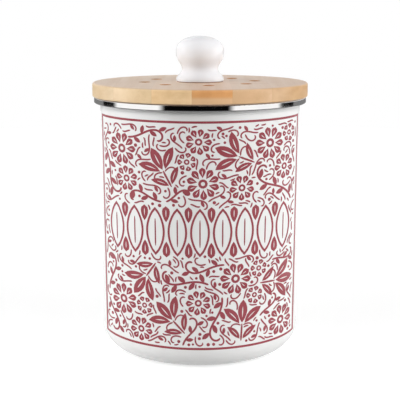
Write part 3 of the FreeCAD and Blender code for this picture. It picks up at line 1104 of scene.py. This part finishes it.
    def leaf_row(self) -> Artwork:
        """Draw the row of bare leaves, with drops between their feet and between their tips.

        Returns:
            The row.
        """
        row = Artwork()
        whole, line = self.row_leaf, self.row_line_mm
        bare = Leaf(whole.length - 3 * line, whole.width - 2 * line)
        hole = [(x + 1.5 * line, y) for x, y in bare.outline(steps=12)]
        rib = stroke(between((whole.length * 0.2, 0.0), (whole.length * 0.76, 0.0), 8), 0.9)
        one = Artwork(lines=[rib], shapes=[[whole.outline(steps=12), hole]])
        drop = Leaf(11.5, 5.6, swell=0.7).slit()
        for number in range(self.row_count):
            across = (number - (self.row_count - 1) / 2) * self.row_spacing_mm
            row.add(one.placed(across, self.row_foot_mm, 90.0))
            if number > 0:
                middle = across - self.row_spacing_mm / 2
                row.add(drop.placed(middle, self.row_foot_mm - 1.0, 90.0))
                row.add(drop.placed(middle, self.row_foot_mm + whole.length + 1.0, -90.0))
        return row

    def strewn(self, kinds: Iterable[Ornament], ground: Ground, chance: random.Random) -> Artwork:
        """Strew ornaments over the free ground, one kind after another.

        Args:
            kinds: the kinds of ornament.
            ground: the places that are taken.
            chance: where the places and turns come from.

        Returns:
            All the ornaments.
        """
        art = Artwork()
        for kind in kinds:
            places: list[Point] = []
            for _ in range(kind.tries):
                across = chance.uniform(-self.half_width_mm, self.half_width_mm)
                place = (across, chance.uniform(self.low_mm, self.high_mm))
                crowded = any(math.dist(place, other) < kind.apart_mm for other in places)
                if crowded or len(places) == kind.count or not ground.is_free([place]):
                    continue
                piece = kind.draw(chance).placed(*place, chance.uniform(0.0, 360.0))
                if ground.is_free(piece.points()):
                    ground.take_artwork(piece, self.gap_mm)
                    art.add(piece)
                    places.append(place)
        return art

    def build(self) -> None:
        """Print every part of the panel."""
        ink = INK.material()
        chance = random.Random(self.seed)
        row = self.leaf_row()
        side_inset, end_inset = self.side_rule_mm + self.inset_mm, self.rule_mm + self.inset_mm
        ground = Ground(self.half_width_mm - side_inset, self.low_mm + end_inset, self.high_mm - end_inset)
        ground.take_artwork(row, self.row_gap_mm)
        self.print_piece("print_border", self.border(), ink)
        self.print_piece("print_leaf_row", row, ink)
        for name, kinds in self.layers:
            self.print_piece(name, self.strewn(kinds, ground, chance), ink)


@dataclass
class Can:
    """The enamelled can and its rim."""

    # Height of the painted shade line along the rim's lower edge, standing in for the shade in the crease
    # beneath it.
    shade_line_height: float = 0.0008

    def dress(self) -> None:
        """Give the shell and the rim their finishes."""
        dress("can_shell", ENAMEL.material())
        rim_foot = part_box("rim_band")[0].z
        # Painted shade: the steel goes dark along its lower edge, where the crease under the rim lies in
        # shade.
        dress("rim_band", replace(RIM_STEEL, shade_line_top=rim_foot + self.shade_line_height).material())


@dataclass
class Lid:
    """The bamboo board with its plug, seal, knob and fastenings."""

    tones: tuple[tuple[Colour, Colour], ...] = (
        (srgb(216, 188, 147), srgb(202, 171, 127)),
        (srgb(226, 198, 156), srgb(213, 182, 139)),
        (srgb(241, 208, 163), srgb(226, 189, 139)),
        (srgb(228, 167, 106), srgb(212, 149, 88)),
        (srgb(217, 178, 136), srgb(201, 161, 116)),
        (srgb(207, 166, 118), srgb(191, 149, 98)),
    )
    two_toned: int = 4
    pale_share: float = 0.48
    # Height of the painted shadow line round the knob's foot.
    knob_shadow_line: float = 0.0006
    knuckles: tuple[float, ...] = (0.021, -0.048, 1.0, 0.052, -0.022, 0.03)

    def dress(self) -> None:
        """Give every piece of the lid its finish."""
        for number, (light, dark) in enumerate(self.tones, 1):
            name = f"lid_stave_{number}"
            low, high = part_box(name)
            finish = BambooFinish(
                f"bamboo_{number}",
                light,
                dark,
                (number * 0.37, number * 0.19, number * 0.11),
                low.x if number > 1 else -1.0,
                high.x if number < len(self.tones) else 1.0,
                self.knuckles[number - 1],
                pale_top=low.z + (high.z - low.z) * self.pale_share if number == self.two_toned else -1.0,
            )
            dress(name, finish.material())
        dress("plug_ring", BambooFinish("bamboo_plug", *self.tones[1], (4.0, 2.0, 1.0)).material())
        dress("seal_ring", SILICONE.material())
        # Painted shadow: the knob's lowest part goes brown, standing in for its shadow on the lid.
        knob_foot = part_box("knob")[0].z
        dress("knob", replace(GLAZE, shade_line_top=knob_foot + self.knob_shadow_line).material())
        dress("knob_insert", BRASS.material())
        steel = SCREW_STEEL.material()
        for name in ("knob_screw", "knob_washer", "frame_screws"):
            dress(name, steel)


@dataclass
class FilterPack:
    """The filter's frame, cover and felt pad."""

    felt_edge: float = 0.0018
    felt_steps: int = 72
    felt_edge_steps: int = 8
    felt_unevenness: float = 0.0003
    felt_lump_scale: float = 180.0

    def dress(self) -> None:
        """Give the filter's rigid pieces their finishes."""
        plastic = PLASTIC.material()
        dress("filter_frame", plastic)
        dress("filter_cover", plastic)

    def build_felt(self) -> None:
        """Model the pad as a soft round of felt that lies flat on its cover."""
        low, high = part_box("carbon_filter")
        radius, edge = high.x, self.felt_edge
        corners = [(share * (radius - edge), low.z) for share in (0.0, 0.5, 1.0)]
        for step in range(1, self.felt_edge_steps):
            turn = math.pi * step / self.felt_edge_steps
            rise = (1 - math.cos(turn)) / 2 * (high.z - low.z)
            corners.append((radius - edge + edge * math.sin(turn), low.z + rise))
        corners += [(share * (radius - edge), high.z) for share in (1.0, 0.85, 0.7, 0.55, 0.4, 0.2, 0.0)]
        shape = bmesh.new()
        knots = [shape.verts.new((across, 0.0, up)) for across, up in corners]
        edges = [shape.edges.new(pair) for pair in zip(knots, knots[1:])]
        bmesh.ops.spin(
            shape,
            geom=knots + edges,
            cent=(0.0, 0.0, 0.0),
            axis=(0.0, 0.0, 1.0),
            angle=2 * math.pi,
            steps=self.felt_steps,
            use_merge=True,
        )
        bmesh.ops.remove_doubles(shape, verts=shape.verts, dist=MERGE)
        bmesh.ops.recalc_face_normals(shape, faces=shape.faces)
        for vertex in shape.verts:
            if vertex.co.z > low.z + edge / 2:
                vertex.co.z -= self.felt_unevenness * (1 + noise.noise(vertex.co * self.felt_lump_scale)) / 2
        pad = add_piece("felt_pad", shape, CHARCOAL.material(), Body.FILTER)
        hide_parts("carbon_filter")


@dataclass(frozen=True)
class Panel:
    """A patch of the world, on the left and on the right: its bearing from the front, rise and level."""

    start_degrees: float
    end_degrees: float
    foot: float
    top: float
    level: float
    foot_fade: float = 0.04
    top_fade: float = 0.04
    edge_degrees: float = 5.0

    def part(self, graph: Graph, bearing: Any, rise: Any) -> bpy.types.NodeSocket:
        """Find the panel's part in a ray.

        Args:
            graph: the world's graph.
            bearing: how far the ray turns away from the front, in radians.
            rise: how far a ray of length 1 climbs.

        Returns:
            The panel's level inside it and 0 outside it.
        """
        start, end, edge = map(math.radians, (self.start_degrees, self.end_degrees, self.edge_degrees))
        part = graph.remap(bearing, start - edge, start + edge, 0.0, self.level)
        part = graph.math("MULTIPLY", part, graph.remap(bearing, end - edge, end + edge, 1.0, 0.0))
        part = graph.math("MULTIPLY", part, graph.remap(rise, self.foot - self.foot_fade, self.foot))
        return graph.math("MULTIPLY", part, graph.remap(rise, self.top, self.top + self.top_fade, 1.0, 0.0))


@dataclass
class Studio:
    """The floor, the light and the camera."""

    camera_place: tuple[float, float, float] = (0.0, -0.7925, 0.2594)
    camera_pitch: float = math.radians(10.52)
    camera_lens_mm: float = 94.0
    sensor_mm: float = 36.0
    floor_radius: float = 1.5
    floor_colour: Colour = srgb(194, 194, 194)
    floor_lift: float = 0.61
    turn: float = math.radians(3.75)
    lights: tuple[Panel, ...] = (
        Panel(-20.0, 80.0, 0.0, 0.3, 0.16),
        Panel(-20.0, 35.0, 0.32, 0.58, 2.9),
        Panel(35.0, 80.0, 0.47, 0.69, 5.6),
        Panel(80.0, 105.0, 0.0, 0.18, 19.8),
        Panel(105.0, 200.0, 0.0, 0.4, 1.2),
    )
    dark_places: tuple[Panel, ...] = (
        Panel(-20.0, 37.5, -0.12, 2.0, 1.0, 0.03),
        Panel(98.0, 126.0, -0.094, 0.03, 1.0, 0.004, 0.03),
        Panel(98.0, 200.0, -0.094, 0.03, 0.8, 0.004, 0.03),
    )
    dark_level: float = 0.002

    def build(self) -> None:
        """Build the whole studio."""
        self.build_camera()
        self.build_floor()
        self.build_world()
        bpy.context.scene.view_settings.view_transform = "Standard"

    def build_camera(self) -> None:
        """Set the camera where the photograph was taken from."""
        data = bpy.data.cameras.new("camera")
        data.lens = self.camera_lens_mm
        data.sensor_width = self.sensor_mm
        camera = bpy.data.objects.new("camera", data)
        camera.location = self.camera_place
        camera.rotation_euler = (math.pi / 2 - self.camera_pitch, 0.0, 0.0)
        bpy.context.scene.collection.objects.link(camera)
        bpy.context.scene.camera = camera

    @staticmethod
    def seen_share(graph: Graph) -> tuple[bpy.types.NodeSocket, bpy.types.NodeSocket]:
        """Tell rays that show the background from rays that light the caddy.

        Args:
            graph: the floor's or the world's graph.

        Returns:
            1 for a ray from the camera, and 1 for a ray that is mirrored or passes through something clear.
        """
        path = graph.add("ShaderNodeLightPath").outputs
        from_mirror = graph.math("MAXIMUM", path["Is Glossy Ray"], path["Is Transmission Ray"])
        return path["Is Camera Ray"], from_mirror

    def build_floor(self) -> None:
        """Lay a round pale floor that shows a soft shadow."""
        shape = bmesh.new()
        bmesh.ops.create_circle(shape, cap_ends=True, segments=96, radius=self.floor_radius)
        mesh = bpy.data.meshes.new("floor")
        shape.to_mesh(mesh)
        shape.free()
        floor = bpy.data.objects.new("floor", mesh)
        bpy.context.scene.collection.objects.link(floor)
        material, graph, shader = new_material("pale_floor", Base_Color=self.floor_colour, Roughness=0.9)
        shader.inputs["Emission Color"].default_value = (1.0, 1.0, 1.0, 1.0)
        seen = graph.math("MAXIMUM", *self.seen_share(graph))
        lift = graph.math("MULTIPLY", seen, self.floor_lift)
        graph.tree.links.new(lift, shader.inputs["Emission Strength"])
        mesh.materials.append(material)

    def build_world(self) -> None:
        """Light the caddy from its sides and from in front, and mirror dark places in a white surrounding."""
        world = bpy.data.worlds.new("studio")
        world.use_nodes = True
        bpy.context.scene.world = world
        graph = Graph(world.node_tree)
        background = world.node_tree.nodes["Background"]
        way = graph.add("ShaderNodeTexCoord").outputs["Generated"]
        apart = graph.add("ShaderNodeSeparateXYZ", {0: way}).outputs
        bearing = graph.math("ARCTAN2", apart[0], graph.math("MULTIPLY", apart[1], -1.0))
        bearing = graph.math("ABSOLUTE", graph.math("ADD", bearing, self.turn))
        light: Any = 0.0
        for panel in self.lights:
            light = graph.math("ADD", light, panel.part(graph, bearing, apart[2]))
        dark: Any = 0.0
        for panel in self.dark_places:
            dark = graph.math("MAXIMUM", dark, panel.part(graph, bearing, apart[2]))
        mirrored = self.choice(graph, dark, 1.0, self.dark_level)
        from_camera, from_mirror = self.seen_share(graph)
        level = self.choice(graph, from_mirror, light, mirrored)
        level = self.choice(graph, from_camera, level, 1.0)
        graph.tree.links.new(level, background.inputs["Strength"])
        background.inputs["Color"].default_value = (1.0, 1.0, 1.0, 1.0)

    @staticmethod
    def choice(graph: Graph, share: Any, first: Any, second: Any) -> bpy.types.NodeSocket:
        """Mix two levels, by the share of the second."""
        return graph.add("ShaderNodeMix", {0: share, 2: first, 3: second}).outputs[0]


def main() -> None:
    """Build the caddy's looks in order."""
    logging.basicConfig(level=logging.INFO, format="%(name)s %(message)s")
    Studio().build()
    Can().dress()
    PrintPanel().build()
    Lid().dress()
    pack = FilterPack()
    pack.dress()
    pack.build_felt()


if __name__ == "__main__":
    main()
